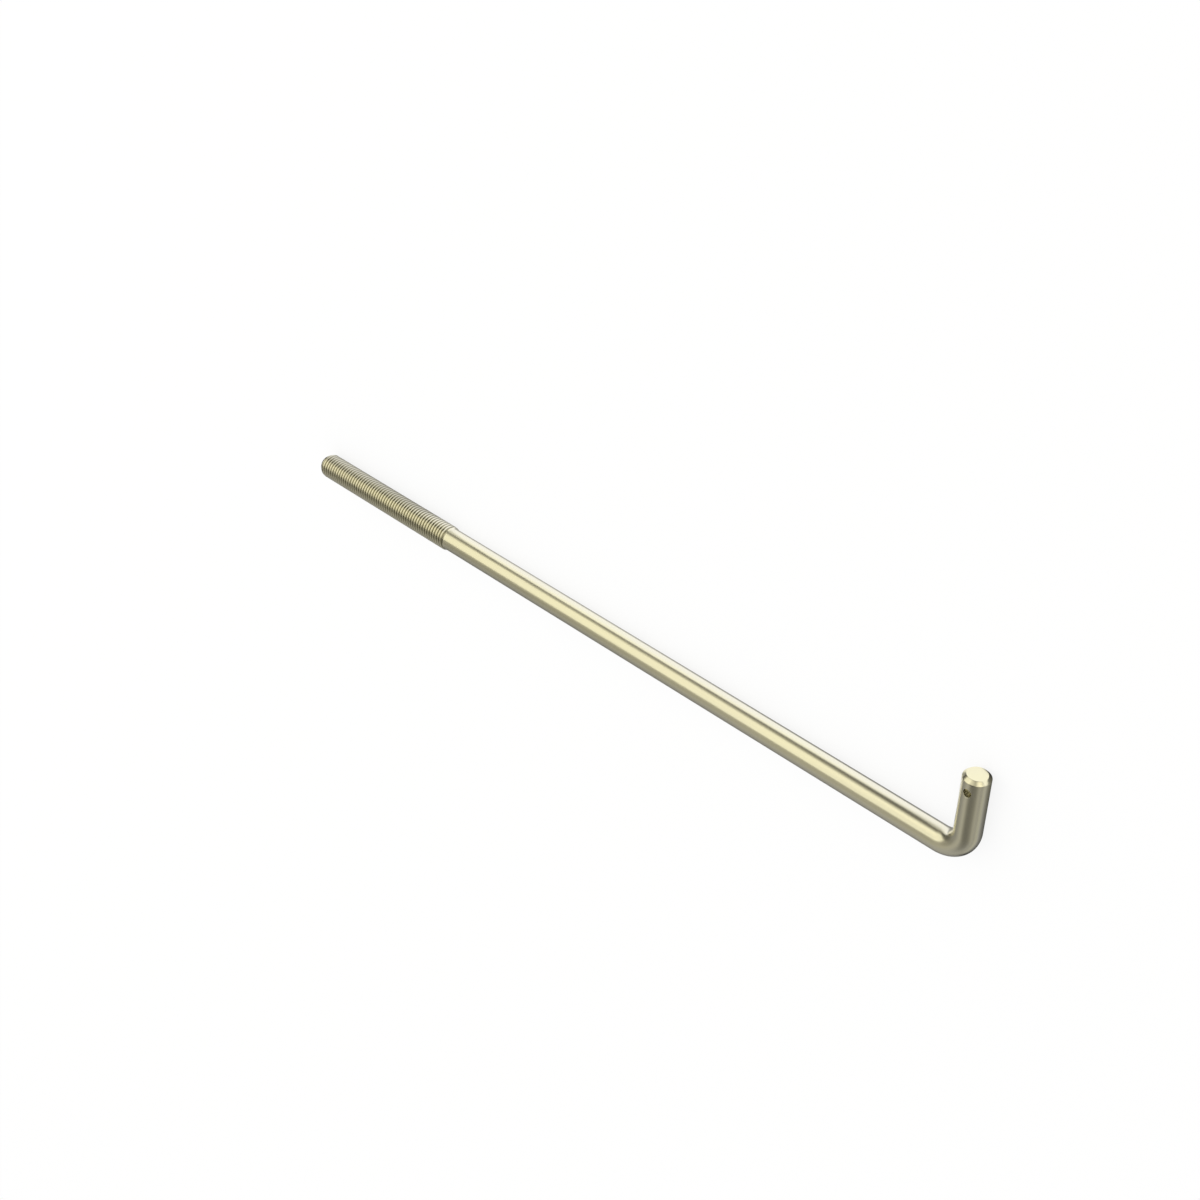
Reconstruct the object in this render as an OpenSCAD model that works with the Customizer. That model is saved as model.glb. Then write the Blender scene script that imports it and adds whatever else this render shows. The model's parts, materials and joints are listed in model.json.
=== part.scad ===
// Hook bolt: a round rod with a rolled thread at one end and a short leg bent up at the other.
// The rod lies along +X and the leg along -Y. The origin is where their two axes meet.

/* [Rod] */
// Diameter of the plain rod, which is the pitch diameter of the rolled thread
rod_d = 10.86; // [9:0.02:11.8]
// Distance from the leg's axis to the end of the thread
rod_len = 390; // [160:1:600]

/* [Hook] */
// Distance from the rod's axis to the tip of the leg
leg_len = 38.4; // [32:0.1:80]
// Radius of the inside of the bend
bend_inner_r = 5.75; // [3:0.05:10]
// Chamfer round the tip of the leg
tip_chamfer = 1.4; // [0.2:0.1:3]

/* [Pin hole] */
// Diameter of the hole across the leg, for a split pin
hole_d = 3.5; // [2:0.1:5]
// Distance from the tip of the leg to the axis of the hole
hole_inset = 5.9; // [5.6:0.1:9]

/* [Thread] */
// Outside diameter of the thread
thread_d = 12; // [11.9:0.02:14]
// Pitch of the thread, from one ridge to the next, and the length of its run-out into the rod
pitch = 1.75; // [1:0.05:2]
// Length of the full thread, from its run-out to the end of the rod
thread_len = 95; // [20:1:120]
// Diameter of the flat end face, inside the lead-in chamfer
point_d = 8.6; // [7:0.1:10]
// Length of the lead-in chamfer
point_len = 2.5; // [0.5:0.1:4]

/* [Hidden] */
$fn = 96;
steel = [0.86, 0.84, 0.74];
rod_r = rod_d / 2;
bend_r = bend_inner_r + rod_r;
thread_start = rod_len - thread_len;
turns = ceil(thread_len / pitch);
crest_r = thread_d / 2;
// A metric thread has flat crests and roots, between flanks at 30 degrees from square to the axis
crest_w = pitch / 8;
root_w = pitch / 6;
flank_w = (pitch - crest_w - root_w) / 2;
root_r = crest_r - flank_w / tan(30);
// How far a cutter passes through the surface that it cuts
cut = 1;

// The straight plain rod, from the end of the bend to the run-out of the thread
module rod() {
    translate([bend_r, 0, 0]) rotate([0, 90, 0])
        cylinder(d = rod_d, h = thread_start - pitch - bend_r);
}

// Half the section of all that the thread stays inside: its run-out, its outside and its lead-in
module thread_envelope() {
    polygon([
        [0, thread_start - pitch],
        [rod_r, thread_start - pitch],
        [crest_r, thread_start],
        [crest_r, rod_len - point_len],
        [point_d / 2, rod_len],
        [0, rod_len]
    ]);
}

// Half the section of the ridges, drawn as a crest and the groove after it for each turn
module thread_ridges() {
    polygon([
        [0, thread_start - pitch],
        [crest_r, thread_start - pitch],
        for (k = [0 : turns - 1]) let (x = thread_start + k * pitch) each [
            [crest_r, x + crest_w],
            [root_r, x + crest_w + flank_w],
            [root_r, x + pitch - flank_w],
            [crest_r, x + pitch]
        ],
        [0, thread_start + turns * pitch]
    ]);
}

// The thread as one turned shape, with a closed ring for each turn of the helix
module thread() {
    rotate([0, 90, 0]) rotate_extrude() intersection() {
        thread_envelope();
        thread_ridges();
    }
}

// The quarter-turn bend from the rod into the leg
module bend() {
    translate([bend_r, -bend_r, 0]) rotate([0, 0, 90]) rotate_extrude(angle = 90)
        translate([bend_r, 0]) circle(d = rod_d);
}

// The straight leg, from the end of the bend to its chamfered tip, as one turned shape
module leg() {
    rotate([90, 0, 0]) rotate_extrude()
        polygon([
            [0, bend_r],
            [rod_r, bend_r],
            [rod_r, leg_len - tip_chamfer],
            [rod_r - tip_chamfer, leg_len],
            [0, leg_len]
        ]);
}

// The hole across the leg, square to the plane of the hook
module pin_hole() {
    translate([0, hole_inset - leg_len, 0])
        cylinder(d = hole_d, h = rod_d + 2 * cut, center = true);
}

module hook_bolt() {
    color(steel) difference() {
        union() {
            rod();
            thread();
            bend();
            leg();
        }
        pin_hole();
    }
}

hook_bolt();
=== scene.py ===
"""Looks of the hook bolt: one bent and threaded rod with its real thread, lying on a pale floor."""
import json
from math import ceil, cos, hypot, pi, radians, sin, sqrt
import bpy
from mathutils import Matrix, Vector

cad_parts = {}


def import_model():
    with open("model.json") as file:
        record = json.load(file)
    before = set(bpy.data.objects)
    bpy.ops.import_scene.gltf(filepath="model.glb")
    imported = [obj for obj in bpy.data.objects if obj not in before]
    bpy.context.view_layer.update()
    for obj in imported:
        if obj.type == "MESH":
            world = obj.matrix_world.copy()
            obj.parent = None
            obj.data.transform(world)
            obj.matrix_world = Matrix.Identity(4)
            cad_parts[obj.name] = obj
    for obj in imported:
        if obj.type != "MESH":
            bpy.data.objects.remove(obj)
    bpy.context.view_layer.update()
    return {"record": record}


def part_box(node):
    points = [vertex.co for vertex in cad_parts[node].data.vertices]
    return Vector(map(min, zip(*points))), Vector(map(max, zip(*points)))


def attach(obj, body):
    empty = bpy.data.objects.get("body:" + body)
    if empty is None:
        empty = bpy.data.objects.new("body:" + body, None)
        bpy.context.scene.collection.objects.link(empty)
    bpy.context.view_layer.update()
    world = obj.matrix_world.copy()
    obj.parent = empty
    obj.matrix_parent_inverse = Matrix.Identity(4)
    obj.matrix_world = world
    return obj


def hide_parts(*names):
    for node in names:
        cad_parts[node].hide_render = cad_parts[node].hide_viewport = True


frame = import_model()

MM = 0.001

# ---- Sizes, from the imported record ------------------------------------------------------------

mounts = {mount["name"]: mount for mount in frame["record"]["mounts"]}
low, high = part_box("hook_bolt")


def span(name, axis):
    """Where a round mount's wall starts and ends along an axis of the frame."""
    middle = mounts[name]["pos_m"][axis]
    half = mounts[name]["dims"]["length_mm"] * MM / 2
    return middle - half, middle + half


ROD_R = mounts["hook_leg"]["dims"]["r_mm"] * MM
THREAD_R = mounts["thread"]["dims"]["r_mm"] * MM
HOLE_R = mounts["split_pin_hole"]["dims"]["r_mm"] * MM
HOLE_Y = mounts["split_pin_hole"]["pos_m"][1]
THREAD_START = span("thread", 0)[0]
ROD_END = high[0]
TIP_Y = low[1]
CHAMFER_Y, BEND_Y = span("hook_leg", 1)
BEND_R = -BEND_Y
TIP_CHAMFER = CHAMFER_Y - TIP_Y

# The standard M12 coarse thread, right-hand: its pitch, the slope of its flanks, and in pitches the
# width of its flat crest and the radius of its rounded root
PITCH = 1.75 * MM
SLOPE = sqrt(3)
CREST_FLAT = 0.125
ROOT_ARC = 0.1443
THREAD_DEPTH = ((1 - CREST_FLAT) / 2 * SLOPE - ROOT_ARC) * PITCH
ROOT_R = THREAD_R - THREAD_DEPTH
RUNOUT_START = THREAD_START - PITCH
# The lead-in chamfer, and the end face inside it
POINT_LENGTH = 2.5 * MM
POINT_START = ROD_END - POINT_LENGTH
POINT_R = 4.3 * MM
# Rounding of the edges at the tip, at the hole's mouths and at the end face
EDGE = 0.12 * MM

# Distances along the bar's centre line from the leg's tip: to the hole, to the end of the leg, and
# round the bend. X_SHIFT is where x is zero on the rod, so that along = x + X_SHIFT there.
HOLE_ALONG = HOLE_Y - TIP_Y
LEG_END = BEND_Y - TIP_Y
BEND_ARC = BEND_R * pi / 2
X_SHIFT = LEG_END + BEND_ARC - BEND_R

# ---- Mesh -------------------------------------------------------------------------------------

# Points round the bar
SIDES = 96
# Longest steps between rows of points: by the tip, along the leg, round the bend and along the rod
TIP_STEP = 0.5 * MM
LEG_STEP = 0.8 * MM
BEND_STEP = 0.5 * MM
ROD_STEP = 4 * MM


class Bar:
    """A mesh whose points also keep their place on the straight bar that the bolt was bent from,
    and how deep each lies in the thread."""

    def __init__(self):
        self.points = []
        self.straight = []
        self.depths = []
        self.faces = []

    def point(self, place, along, across, up, depth):
        self.points.append(place)
        self.straight.append((along, across, up))
        self.depths.append(depth)
        return len(self.points) - 1

    def face(self, *corners):
        """Adds a face with its repeated corners left out, or nothing where it has no area."""
        kept = list(dict.fromkeys(corners))
        if len(kept) > 2:
            self.faces.append(kept)

    def join(self, rows):
        """Joins each closed row of points to the next."""
        for row, next_row in zip(rows, rows[1:]):
            for i in range(len(row)):
                j = (i + 1) % len(row)
                self.face(row[i], row[j], next_row[j], next_row[i])

    def cap(self, row, middle):
        """Closes a row on one middle point."""
        for i, corner in enumerate(row):
            self.face(corner, row[(i + 1) % len(row)], middle)


def path(along):
    """Place and heading on the bar's centre line, by distance along it from the leg's tip."""
    if along <= LEG_END:
        return (0.0, TIP_Y + along), pi / 2
    if along >= LEG_END + BEND_ARC:
        return (BEND_R + along - LEG_END - BEND_ARC, 0.0), 0.0
    turn = (along - LEG_END) / BEND_R
    return (BEND_R - BEND_R * cos(turn), -BEND_R + BEND_R * sin(turn)), pi / 2 - turn


def angle_of(i):
    return 2 * pi * i / SIDES


def bar_point(bar, along, across, up, depth=0.0):
    """A point at a distance along the centre line, across to the outside of the bend, and up."""
    (x, y), heading = path(along)
    place = (x - sin(heading) * across, y + cos(heading) * across, up)
    return bar.point(place, along, across, up, depth)


def round_point(bar, along, radius, i, depth=0.0):
    """The point of a ring about the centre line that lies in one column of the mesh."""
    return bar_point(bar, along, radius * cos(angle_of(i)), radius * sin(angle_of(i)), depth)


def ring(bar, along, radius):
    return [round_point(bar, along, radius, i) for i in range(SIDES)]


def steps(start, end, size):
    """Even steps from start to end, no longer than size."""
    count = ceil((end - start) / size)
    return [start + (end - start) * k / count for k in range(count + 1)]


# ---- The leg and its hole ----

# Half the number of columns and rows of the square patch round each mouth of the hole
PATCH = 8
PATCH_STEP = 0.34 * MM
# The columns at the middle of the upper mouth and of the lower one
PATCH_CENTRES = {1: SIDES // 4, -1: 3 * SIDES // 4}
# Rows from the patch's border to the hole, closer together towards it, round its rim and down its wall
PATCH_RINGS = 5
RING_POWER = 0.8
RIM_STEPS = 3
WALL_STEPS = 6
# How near two points of opposite mouths are to count as one above the other
MATCH = EDGE / 50


def in_patch(i):
    return any(abs(i - centre) < PATCH for centre in PATCH_CENTRES.values())


def leg_rows(bar):
    """Rows of the leg from the chamfer to the bend, and those by the hole, which leave it open."""
    patch = [HOLE_ALONG + PATCH_STEP * k for k in range(-PATCH, PATCH + 1)]
    before = steps(TIP_CHAMFER + EDGE, patch[0], TIP_STEP)[:-1]
    after = steps(patch[-1], LEG_END, LEG_STEP)[1:]
    rows = []
    for along in before + patch + after:
        inside = patch[0] < along < patch[-1]
        rows.append([None if inside and in_patch(i) else round_point(bar, along, ROD_R, i)
                     for i in range(SIDES)])
    return rows, rows[len(before):len(before) + len(patch)]


def join_leg(bar, rows, patch_rows):
    """Joins the leg's rows, but not inside the patches."""
    for row, next_row in zip(rows, rows[1:]):
        by_hole = row in patch_rows and next_row in patch_rows
        for i in range(SIDES):
            if by_hole and any(-PATCH <= i - centre < PATCH for centre in PATCH_CENTRES.values()):
                continue
            j = (i + 1) % SIDES
            bar.face(row[i], row[j], next_row[j], next_row[i])


def mouth(bar, patch_rows, side):
    """The rows from the square border of one mouth of the hole in to its rim, and the rim itself.
    Side is 1 for the upper mouth and -1 for the lower one."""
    first, last = PATCH_CENTRES[side] - PATCH, PATCH_CENTRES[side] + PATCH
    border = patch_rows[0][first:last + 1]
    border += [row[last] for row in patch_rows[1:]]
    border += patch_rows[-1][first:last][::-1]
    border += [row[first] for row in patch_rows[-2:0:-1]]
    offsets = [(bar.straight[p][0] - HOLE_ALONG, bar.straight[p][1]) for p in border]
    reaches = [hypot(u, v) for u, v in offsets]

    def inner_row(radii, drop):
        """The border drawn in to other distances from the hole's axis, and sunk below the surface."""
        row = []
        for (u, v), reach, radius in zip(offsets, reaches, radii):
            u, v = u / reach * radius, v / reach * radius
            row.append(bar_point(bar, HOLE_ALONG + u, v, side * (sqrt(ROD_R ** 2 - v * v) - drop)))
        return row

    rows = [border]
    for k in range(1, PATCH_RINGS + 1):
        share = (k / PATCH_RINGS) ** RING_POWER
        rows.append(inner_row([reach + (HOLE_R + EDGE - reach) * share for reach in reaches], 0.0))
    for k in range(1, RIM_STEPS + 1):
        turn = pi / 2 * k / RIM_STEPS
        rim_r = HOLE_R + EDGE * (1 - sin(turn))
        rows.append(inner_row([rim_r] * len(border), EDGE * (1 - cos(turn))))
    return rows


def hole(bar, patch_rows):
    """The two mouths of the hole, and the wall between them."""
    upper = mouth(bar, patch_rows, 1)
    lower = mouth(bar, patch_rows, -1)
    bar.join(upper)
    bar.join(lower)
    # The lower mouth runs the other way round, so its points are taken by their place
    top = upper[-1]
    by_place = {place_key(bar, p): p for p in lower[-1]}
    bottom = [by_place[place_key(bar, p)] for p in top]
    rows = [top]
    for k in range(1, WALL_STEPS):
        row = []
        for a, b in zip(top, bottom):
            (along, across, start), end = bar.straight[a], bar.straight[b][2]
            row.append(bar_point(bar, along, across, start + (end - start) * (k / WALL_STEPS)))
        rows.append(row)
    rows.append(bottom)
    bar.join(rows)


def place_key(bar, p):
    """Equal for two points that lie one above the other."""
    along, across, _ = bar.straight[p]
    return round(along / MATCH), round(across / MATCH)


# ---- The thread ----

# Places along one turn, from the middle of one crest to the next, that draw the profile
PHASES = (0.0, 0.052, 0.0625, 0.075, 0.2, 0.33, 0.42, 0.5, 0.58, 0.67, 0.8, 0.925, 0.9375, 0.948)


def thread_shape(phase):
    """Height of the thread above its root, from 0 to 1, at a phase of -0.5 to 0.5 from the crest."""
    u = abs(phase)
    if u <= CREST_FLAT / 2:
        return 1.0
    if u <= 0.5 - ROOT_ARC * cos(radians(30)):
        return 1 - SLOPE * PITCH * (u - CREST_FLAT / 2) / THREAD_DEPTH
    root_arc = ROOT_ARC * PITCH
    offset = (0.5 - u) * PITCH
    return (root_arc - sqrt(root_arc ** 2 - offset ** 2)) / THREAD_DEPTH


def smooth(t):
    t = min(max(t, 0.0), 1.0)
    return t * t * (3 - 2 * t)


def thread_radius(x, height):
    """Radius of the threaded surface at x, for a height of 0 at the root to 1 at the crest, and the
    radius of the crest itself."""
    grown = smooth((x - RUNOUT_START) / (THREAD_START - RUNOUT_START))
    crest = ROD_R + (THREAD_R - ROD_R) * grown
    root = ROD_R + (ROOT_R - ROD_R) * grown
    radius = root + (crest - root) * height
    taper = (x - POINT_START) / (ROD_END - POINT_START)
    cone = THREAD_R + (POINT_R - THREAD_R) * max(taper, 0.0)
    return min(radius, cone), min(crest, cone)


def thread(bar, start_row):
    """The helical ridges, from the run-out to the rounded edge of the end face. Gives the last row."""
    x_first, x_last = RUNOUT_START, ROD_END - EDGE
    # One turn more at each end, which is held on that end
    turns = int((x_last - x_first) / PITCH) + 3
    columns = []
    for i in range(SIDES):
        column = []
        for turn in range(turns):
            for phase in PHASES:
                x = x_first + (turn - 1 + phase) * PITCH + PITCH * i / SIDES
                column.append(thread_point(bar, column, i, x, phase, x_last, start_row))
        columns.append(column)
    # After one turn round, the last column meets the first one a whole turn further on
    columns.append(columns[0][len(PHASES):] + columns[0][-1:] * len(PHASES))
    for j in range(len(columns[0]) - 1):
        for column, beside in zip(columns, columns[1:]):
            bar.face(column[j], beside[j], beside[j + 1], column[j + 1])
    return [column[-1] for column in columns[:-1]]


def thread_point(bar, column, i, x, phase, x_last, start_row):
    """One point of a column. What would pass either end is held on it, as one shared point."""
    if x <= RUNOUT_START:
        return start_row[i]
    if x >= x_last and column and bar.straight[column[-1]][0] >= x_last + X_SHIFT:
        return column[-1]
    at = min(x, x_last)
    # The phase where the point is held, from -0.5 to 0.5
    wrapped = phase - (x - at) / PITCH
    wrapped -= round(wrapped)
    radius, crest = thread_radius(at, thread_shape(wrapped))
    return round_point(bar, at + X_SHIFT, radius, i, crest - radius)


# ---- The whole bolt ----


def tip(bar):
    """The tip's flat face, a rounded edge, the chamfer and a second rounded edge."""
    face_r = ROD_R - TIP_CHAMFER
    slant = EDGE / sqrt(2)
    middle = bar_point(bar, 0.0, 0.0, 0.0)
    rows = [ring(bar, 0.0, face_r * share) for share in (0.25, 0.5, 0.75)]
    rows.append(ring(bar, 0.0, face_r - EDGE))
    rows.append(ring(bar, slant / 3, face_r))
    rows.append(ring(bar, slant, face_r + slant))
    rows += [ring(bar, TIP_CHAMFER * share, face_r + TIP_CHAMFER * share) for share in (0.35, 0.65)]
    rows.append(ring(bar, TIP_CHAMFER - slant, ROD_R - slant))
    rows.append(ring(bar, TIP_CHAMFER, ROD_R - slant / 3))
    bar.cap(rows[0][::-1], middle)
    return rows


def end_face(bar, last):
    """The rounded edge and the flat face of the threaded end."""
    end = ROD_END + X_SHIFT
    rows = [last, ring(bar, end - EDGE / 3, POINT_R), ring(bar, end, POINT_R - EDGE)]
    rows += [ring(bar, end, POINT_R * share) for share in (0.75, 0.5, 0.25)]
    bar.join(rows)
    bar.cap(rows[-1], bar_point(bar, end, 0.0, 0.0))


def build_bolt():
    bar = Bar()
    rows = tip(bar)
    leg, patch_rows = leg_rows(bar)
    bar.join(rows + leg[:1])
    join_leg(bar, leg, patch_rows)
    hole(bar, patch_rows)
    # The bend, then the plain rod
    places = steps(LEG_END, LEG_END + BEND_ARC, BEND_STEP)[1:]
    places += steps(LEG_END + BEND_ARC, RUNOUT_START + X_SHIFT, ROD_STEP)[1:]
    rows = leg[-1:] + [ring(bar, along, ROD_R) for along in places]
    bar.join(rows)
    end_face(bar, thread(bar, rows[-1]))
    return bar


def bolt_object():
    bar = build_bolt()
    mesh = bpy.data.meshes.new("hook_bolt_threaded")
    mesh.from_pydata(bar.points, [], bar.faces)
    mesh.validate()
    store = mesh.attributes.new("straight_bar", "FLOAT_VECTOR", "POINT")
    store.data.foreach_set("vector", [c for place in bar.straight for c in place])
    store = mesh.attributes.new("depth", "FLOAT", "POINT")
    store.data.foreach_set("value", bar.depths)
    mesh.polygons.foreach_set("use_smooth", [True] * len(mesh.polygons))
    mesh.update()
    bolt = bpy.data.objects.new("hook_bolt_threaded", mesh)
    bpy.context.scene.collection.objects.link(bolt)
    return bolt


# ---- Materials --------------------------------------------------------------------------------


def new_material(name):
    material = bpy.data.materials.new(name)
    material.use_nodes = True
    material.node_tree.nodes.clear()
    return material, material.node_tree.nodes, material.node_tree.links


class Sums:
    """Arithmetic in one node tree. A value is a number or the output of another node."""

    def __init__(self, nodes, links):
        self.nodes = nodes
        self.links = links

    def wired(self, node, sockets, values):
        for socket, value in zip(sockets, values):
            if isinstance(value, (int, float)):
                socket.default_value = value
            else:
                self.links.new(value, socket)
        return node.outputs[0]

    def of(self, operation, first, second):
        node = self.nodes.new("ShaderNodeMath")
        node.operation = operation
        return self.wired(node, node.inputs, (first, second))

    def times(self, first, second):
        return self.of("MULTIPLY", first, second)

    def ramp(self, value, start, end, first, last):
        """Goes smoothly from first to last while the value goes from start to end."""
        node = self.nodes.new("ShaderNodeMapRange")
        node.interpolation_type = "SMOOTHSTEP"
        sockets = [node.inputs[name] for name in ("Value", "From Min", "From Max", "To Min", "To Max")]
        return self.wired(node, sockets, (value, start, end, first, last))

    def blend(self, share, first, second):
        """First where the share is 0, second where it is 1."""
        return self.of("ADD", self.times(share, self.of("SUBTRACT", second, first)), first)

    def mixed(self, share, first, second):
        """A colour between two, each three numbers or the output of another node."""
        node = self.nodes.new("ShaderNodeMix")
        node.data_type = "RGBA"
        self.links.new(share, node.inputs["Factor"])
        # The sockets of a Mix node that hold its colours, which share their names with others
        colour_a, colour_b, result = node.inputs[6], node.inputs[7], node.outputs[2]
        for socket, value in ((colour_a, first), (colour_b, second)):
            if isinstance(value, tuple):
                socket.default_value = (*value, 1.0)
            else:
                self.links.new(value, socket)
        return result

    def vector(self, operation, first, second):
        """A number made of two vectors, such as their dot product or distance."""
        node = self.nodes.new("ShaderNodeVectorMath")
        node.operation = operation
        self.links.new(first, node.inputs[0])
        node.inputs[1].default_value = second
        return node.outputs["Value"]


# The plating, the other tint that it is clouded with, and the painted shade that darkens it deep in the
# thread's grooves
PLATE = (0.96, 0.925, 0.765)
PLATE_CLOUD = (0.945, 0.91, 0.775)
GROOVE_SHADE_COLOUR = (0.39, 0.37, 0.28)
# Depths in the thread at which the painted shade starts and is full
SHADE_START = 0.22 * MM
SHADE_FULL = 0.6 * MM
# Least and most roughness across the drawing lines
ROUGHNESS = (0.21, 0.27)


def plated_steel():
    """Bright zinc plate with a pale yellow tint: fine drawing lines, faint clouding, and painted shade
    darkening the thread's grooves.
    """
    material, nodes, links = new_material("plated_steel")
    output = nodes.new("ShaderNodeOutputMaterial")
    metal = nodes.new("ShaderNodeBsdfPrincipled")
    metal.inputs["Metallic"].default_value = 1.0
    links.new(metal.outputs[0], output.inputs["Surface"])
    sums = Sums(nodes, links)
    place = nodes.new("ShaderNodeAttribute")
    place.attribute_name = "straight_bar"

    def noise(scale, detail, stretch):
        """Noise on the straight bar, with its scale in features a metre. A first stretch below 1 draws
        it out along the bar."""
        mapping = nodes.new("ShaderNodeMapping")
        mapping.inputs["Scale"].default_value = stretch
        texture = nodes.new("ShaderNodeTexNoise")
        texture.inputs["Scale"].default_value = scale
        texture.inputs["Detail"].default_value = detail
        links.new(place.outputs["Vector"], mapping.inputs["Vector"])
        links.new(mapping.outputs[0], texture.inputs["Vector"])
        return texture.outputs["Fac"]

    def relief(height, strength, distance):
        node = nodes.new("ShaderNodeBump")
        node.inputs["Strength"].default_value = strength
        node.inputs["Distance"].default_value = distance
        links.new(height, node.inputs["Height"])
        return node

    clouds = noise(60, detail=3, stretch=(0.35, 1, 1))
    lines = noise(2600, detail=3, stretch=(0.012, 1, 1))
    grain = noise(9000, detail=2, stretch=(1, 1, 1))
    plate = sums.mixed(sums.ramp(clouds, 0.35, 0.65, 0, 1), PLATE, PLATE_CLOUD)
    depth = nodes.new("ShaderNodeAttribute")
    depth.attribute_name = "depth"
    # Painted shade: the base colour darkens with depth in the thread
    groove_shade = sums.ramp(depth.outputs["Fac"], SHADE_START, SHADE_FULL, 0, 1)
    links.new(sums.mixed(groove_shade, plate, GROOVE_SHADE_COLOUR), metal.inputs["Base Color"])
    links.new(sums.ramp(lines, 0.3, 0.7, *ROUGHNESS), metal.inputs["Roughness"])
    drawn = relief(lines, strength=0.05, distance=0.02 * MM)
    grained = relief(grain, strength=0.03, distance=0.01 * MM)
    links.new(drawn.outputs[0], grained.inputs["Normal"])
    links.new(grained.outputs[0], metal.inputs["Normal"])
    return material


# ---- Stage ------------------------------------------------------------------------------------

# The camera sees a white floor and background, but the metal doesn't: what reflects in it is a dimmer
# studio and an uneven floor, whose painted light and painted shadow stand in for lamps and the bolt's
# shadow. Their levels were set by trial, for the bands seen from the camera's place, so in other views
# they are not plain studio light.

# Share of the floor that the camera sees as even white, where the rest keeps the bolt's shadow
CAMERA_WHITE = 0.85
PAPER = (0.93, 0.93, 0.93)
# Tint of the painted floor light in the metal, on the leg's side away from the rod and past the hook
FLOOR_WARM = (1.0, 0.985, 0.84)
# Half the floor's width
FLOOR_HALF = 6.0


def painted_floor_level(sums, place, x, y):
    """How bright the floor is in the metal at each place, in metres: painted light, as if lit from the
    leg's side, and painted shadow close to the bolt."""
    # Painted light: bright beside the rod on the leg's side, and dimmer away from it, over a narrower
    # strip by the hook
    from_rod = sums.vector("DOT_PRODUCT", place, (0.25, 1, 0))
    level = sums.ramp(from_rod, -0.041, -0.001, 0.15, 1.0)
    # Painted shade, dimmer beside the thread
    beside_thread = sums.ramp(x, THREAD_START + 0.02, ROD_END, 0.6, 0.72)
    level = sums.times(level, sums.ramp(x, THREAD_START, THREAD_START + 0.02, 1.0, beside_thread))
    # Painted light, bright beyond the tip
    beyond_tip = sums.vector("DISTANCE", place, (-0.045, TIP_Y - 0.06, low[2]))
    level = sums.of("MAXIMUM", level, sums.ramp(beyond_tip, 0.082, 0.1, 1.0, 0.1))
    # Painted shadow under the rod, most so by the hook, and a little less from its centre line on
    under_rod = sums.ramp(x, 0.05, 0.2, 0.2, 0.38)
    level = sums.times(level, sums.ramp(y, -0.0068, -0.0043, 1.0, under_rod))
    level = sums.times(level, sums.ramp(y, -0.0038, -0.0022, 1, 1.4))
    # Painted shade, dim on the rod's other side
    far_side = sums.ramp(y, 0.01, 0.05, sums.ramp(x, 0.06, 0.2, 0.22, 0.34), 0.2)
    level = sums.blend(sums.ramp(y, 0, 0.008, 0, 1), level, far_side)
    # Painted shadow beside the leg on its outer side, darkest under it
    past_tip = sums.vector("DOT_PRODUCT", place, (-0.2, 1, 0))
    by_leg = sums.times(sums.ramp(x, -0.0005, 0.003, 1, 0),
                        sums.ramp(past_tip, TIP_Y - 0.0028, TIP_Y - 0.0008, 0, 1))
    beside_leg = sums.ramp(x, -0.025, -0.003, 0.395, 0.1)
    under_leg = sums.ramp(x, -0.006, -0.002, 1, 0.3)
    level = sums.blend(by_leg, level, sums.times(beside_leg, under_leg))
    # Painted shade, dark past the threaded end
    return sums.times(level, sums.ramp(x, ROD_END, ROD_END + 0.015, 1, 0.15))


def floor_material():
    """Pale paper, which the camera sees as white with a faint shadow. In the metal it has the uneven
    level of painted light and painted shadow set above."""
    material, nodes, links = new_material("pale_floor")
    output = nodes.new("ShaderNodeOutputMaterial")
    sums = Sums(nodes, links)
    place = nodes.new("ShaderNodeNewGeometry").outputs["Position"]
    split = nodes.new("ShaderNodeSeparateXYZ")
    links.new(place, split.inputs[0])
    x, y = split.outputs["X"], split.outputs["Y"]
    rays = nodes.new("ShaderNodeLightPath")
    glossy = rays.outputs["Is Glossy Ray"]

    white = nodes.new("ShaderNodeEmission")
    # For the metal this emission carries the floor's painted light and painted shadow; for the camera it
    # is even white
    level = sums.blend(glossy, 1, painted_floor_level(sums, place, x, y))
    links.new(level, white.inputs["Strength"])
    away = sums.of("MAXIMUM", sums.ramp(y, -0.03, -0.006, 1, 0), sums.ramp(x, -0.03, -0.014, 1, 0))
    tint = sums.mixed(sums.times(glossy, away), (1, 1, 1), FLOOR_WARM)
    links.new(tint, white.inputs["Color"])
    paper = nodes.new("ShaderNodeBsdfDiffuse")
    paper.inputs["Color"].default_value = (*PAPER, 1)
    mix = nodes.new("ShaderNodeMixShader")
    white_share = sums.of("ADD", sums.times(rays.outputs["Is Camera Ray"], CAMERA_WHITE), glossy)
    links.new(white_share, mix.inputs["Fac"])
    links.new(paper.outputs[0], mix.inputs[1])
    links.new(white.outputs[0], mix.inputs[2])
    links.new(mix.outputs[0], output.inputs["Surface"])
    return material


def floor():
    mesh = bpy.data.meshes.new("floor")
    corners = [(x * FLOOR_HALF, y * FLOOR_HALF, low[2])
               for x, y in ((-1, -1), (1, -1), (1, 1), (-1, 1))]
    mesh.from_pydata(corners, [], [(0, 1, 2, 3)])
    plane = bpy.data.objects.new("floor", mesh)
    mesh.materials.append(floor_material())
    bpy.context.scene.collection.objects.link(plane)


def axes(x, y, z):
    return Matrix((x, y, z)).transposed().to_4x4()


# The key lamp: a broad soft box high up past the threaded end, turned from overhead down to the leg's
# side. It gives the bright band along the rod.
KEY_TARGET = Vector((3.0, 0, 0))
KEY_TURN = radians(35.2)
KEY_DISTANCE = 3.0
KEY_SIZE = (4.3, 3.7)
KEY_RADIANCE = 0.565
KEY_COLOUR = (1.0, 0.967, 0.738)


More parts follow.
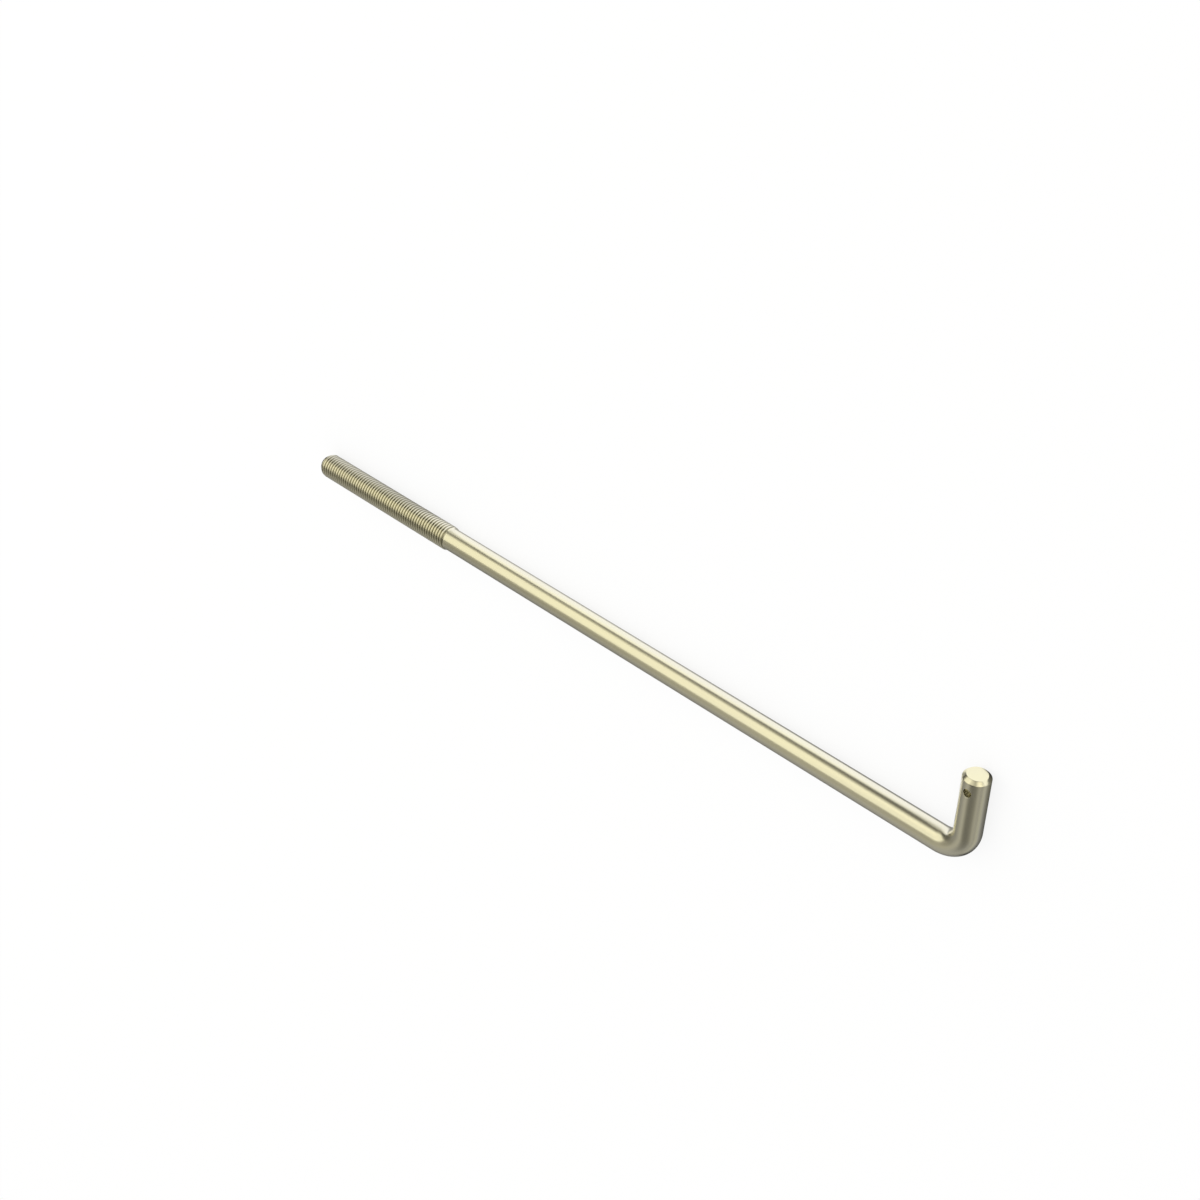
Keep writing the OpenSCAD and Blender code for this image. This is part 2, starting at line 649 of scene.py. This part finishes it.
def key_lamp():
    lamp = bpy.data.lights.new("key", "AREA")
    lamp.shape = "RECTANGLE"
    lamp.size, lamp.size_y = KEY_SIZE
    lamp.energy = KEY_RADIANCE * pi * KEY_SIZE[0] * KEY_SIZE[1]
    lamp.color = KEY_COLOUR
    box = bpy.data.objects.new("key", lamp)
    away = Vector((0, -sin(KEY_TURN), cos(KEY_TURN)))
    along = Vector((1, 0, 0))
    place = KEY_TARGET + away * KEY_DISTANCE
    box.matrix_world = Matrix.Translation(place) @ axes(along, away.cross(along), away)
    bpy.context.scene.collection.objects.link(box)


UP = (0, 0, 1)
# Directions of the studio's darker sides, how near to each (as a cosine) they start and are full, and
# their share of the light
DARK_SIDES = (
    ((-0.25, 0.65, 0.73), 0.81, 1.0, 0.35),
    ((0.82, 0.57, 0.1), 0.75, 1.0, 0.7),
    ((0.78, 0.25, 0.58), 0.92, 0.985, 0.7),
    ((-0.95, 0.2, 0.2), 0.93, 0.985, 0.4),
    ((-0.1, 0.2, 1), 0.88, 0.95, 0.15),
    ((1, -0.05, 0.1), 0.85, 0.97, 0.3),
)
# Its brighter sides likewise, with the level each adds: a wall past the hook, and two glows on the
# leg's side, one low down and one higher up
BRIGHT_SIDES = (
    ((-0.84, -0.55, 0.1), 0.68, 0.96, 0.85),
    ((0.62, -0.77, 0.13), 0.955, 0.985, 0.24),
    ((0.12, -0.71, 0.69), 0.94, 1.0, 0.34),
)
# Tint of the studio's light, and of the part on the leg's side
PALE = (0.975, 0.96, 0.88)
WARM = (0.975, 0.93, 0.71)


def world():
    """White all round, but a dim grey studio in the metal."""
    sky = bpy.data.worlds.new("studio")
    bpy.context.scene.world = sky
    sky.use_nodes = True
    nodes, links = sky.node_tree.nodes, sky.node_tree.links
    nodes.clear()
    output = nodes.new("ShaderNodeOutputWorld")
    mix = nodes.new("ShaderNodeMixShader")
    white = nodes.new("ShaderNodeBackground")
    white.inputs["Color"].default_value = (1, 1, 1, 1)
    studio = nodes.new("ShaderNodeBackground")
    rays = nodes.new("ShaderNodeLightPath")
    links.new(rays.outputs["Is Glossy Ray"], mix.inputs["Fac"])
    links.new(white.outputs[0], mix.inputs[1])
    links.new(studio.outputs[0], mix.inputs[2])
    links.new(mix.outputs[0], output.inputs["Surface"])
    sums = Sums(nodes, links)
    heading = nodes.new("ShaderNodeTexCoord").outputs["Generated"]

    def toward(direction, start, end, first, last):
        """A level that changes smoothly with how near a heading is to a direction."""
        nearness = sums.vector("DOT_PRODUCT", heading, Vector(direction).normalized())
        return sums.ramp(nearness, start, end, first, last)

    # A grey room, black low down on the leg's side, with its darker and brighter sides
    level = toward(UP, 0, 0.6, 0.3, 0.38)
    above, far_side = toward(UP, 0.04, 0.34, 0, 1), toward((0.1, 1, 0), -0.5, 0.2, 0, 1)
    level = sums.times(level, sums.of("MAXIMUM", above, far_side))
    for direction, start, end, share in DARK_SIDES:
        level = sums.times(level, toward(direction, start, end, 1, share))
    for direction, start, end, more in BRIGHT_SIDES:
        level = sums.of("ADD", level, toward(direction, start, end, 0, more))
    links.new(level, studio.inputs["Strength"])
    leg_side = toward((-0.1, -0.85, 0.5), -0.6, 0.1, 0, 1)
    links.new(sums.mixed(leg_side, PALE, WARM), studio.inputs["Color"])


def camera():
    """The bolt seen from above, past the hook and on the leg's side, with the leg upright."""
    target = Vector((0.20157, -0.00787, -0.00802))
    distance = 0.74516
    turn, height = radians(-135.33), radians(34.62)
    away = Vector((cos(turn) * cos(height), sin(turn) * cos(height), sin(height)))
    leg_up = Vector((0, -1, 0))
    side = leg_up.cross(away).normalized()
    data = bpy.data.cameras.new("camera")
    data.lens = 50.92
    data.sensor_width = 36.0
    data.clip_end = 50.0
    eye = bpy.data.objects.new("camera", data)
    eye.matrix_world = Matrix.Translation(target + away * distance) @ axes(side, away.cross(side), away)
    bpy.context.scene.collection.objects.link(eye)
    bpy.context.scene.camera = eye


camera()
bolt = bolt_object()
bolt.data.materials.append(plated_steel())
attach(bolt, "root")
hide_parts("hook_bolt")

floor()
world()
key_lamp()

bpy.context.scene.view_settings.view_transform = "Standard"
